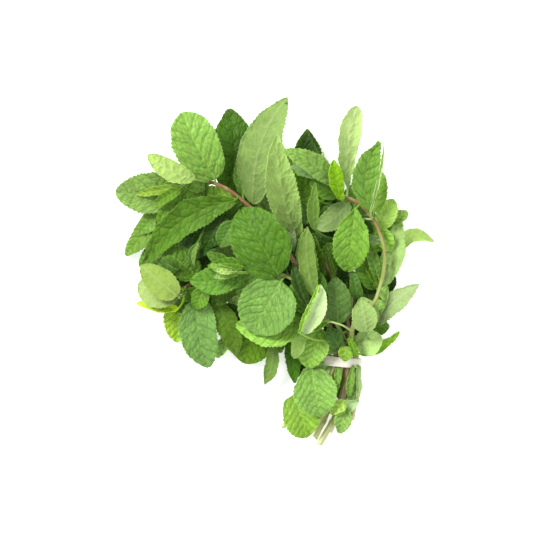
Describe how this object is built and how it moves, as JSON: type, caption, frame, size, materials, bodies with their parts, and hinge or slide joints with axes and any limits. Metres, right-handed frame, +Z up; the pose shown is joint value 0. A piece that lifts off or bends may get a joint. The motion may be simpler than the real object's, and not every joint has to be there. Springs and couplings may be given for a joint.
{
  "type": "mint bunch",
  "caption": "Fresh mint sprigs with serrated veined leaves, tied at the stems with a rubber band and laid flat.",
  "frame": {"origin": "on the table under the middle of the bunch's box", "axes": "+Y from the cut ends to the leaf tips, +Z up from the table the bunch lies on, +X to the right as seen from above with the cut ends towards the viewer"},
  "size_m": [0.208, 0.2268, 0.0643],
  "materials": {
    "leaf_top": "mid green upper side of a leaf, faintly glossy",
    "leaf_under": "pale matt underside of a leaf",
    "leaf_young": "yellow-green young leaf",
    "leaf_dark": "dark green inner leaf",
    "stem_red": "red-brown square stem, smooth",
    "stem_green": "pale green square stem, smooth",
    "rubber": "cream rubber, matt"
  },
  "bodies": {
    "root": {"band": "rubber", "stem_1": "stem_red", "stem_2": "stem_red", "stem_3": "stem_green", "stem_4": "stem_red", "stem_5": "stem_green", "stem_6": "stem_green", "stem_7": "stem_red", "stem_8": "stem_green", "leaf_low_1": "leaf_under", "leaf_low_2": "leaf_under", "leaf_low_3": "leaf_under", "leaf_low_4": "leaf_dark", "leaf_low_5": "leaf_dark", "leaf_b": "leaf_dark", "leaf_f": "leaf_dark", "leaf_aw": "leaf_young", "leaf_ai": "leaf_top", "leaf_ah": "leaf_under", "leaf_ak": "leaf_dark", "leaf_au": "leaf_top", "leaf_h": "leaf_dark", "leaf_r": "leaf_under", "leaf_d": "leaf_under", "leaf_e": "leaf_under", "leaf_w": "leaf_dark", "leaf_y": "leaf_under", "leaf_z": "leaf_under", "leaf_ac": "leaf_dark", "leaf_ab": "leaf_under", "leaf_u": "leaf_dark", "leaf_t": "leaf_under", "leaf_x": "leaf_under", "leaf_bb": "leaf_top", "leaf_be": "leaf_dark", "leaf_ay": "leaf_top", "leaf_ax": "leaf_top", "leaf_av": "leaf_young", "leaf_aq": "leaf_top", "leaf_ap": "leaf_top", "leaf_a": "leaf_top", "leaf_ar": "leaf_young", "leaf_p": "leaf_under", "leaf_o": "leaf_under", "leaf_m": "leaf_under", "leaf_l": "leaf_dark", "leaf_i": "leaf_under", "leaf_s": "leaf_under", "leaf_g": "leaf_top", "leaf_k": "leaf_top", "leaf_j": "leaf_young", "leaf_q": "leaf_top", "leaf_ag": "leaf_young", "leaf_af": "leaf_top", "leaf_ae": "leaf_top", "leaf_aj": "leaf_top", "leaf_an": "leaf_top", "leaf_al": "leaf_top", "leaf_am": "leaf_top", "shoot_3": "leaf_young"}
  },
  "joints": []
}
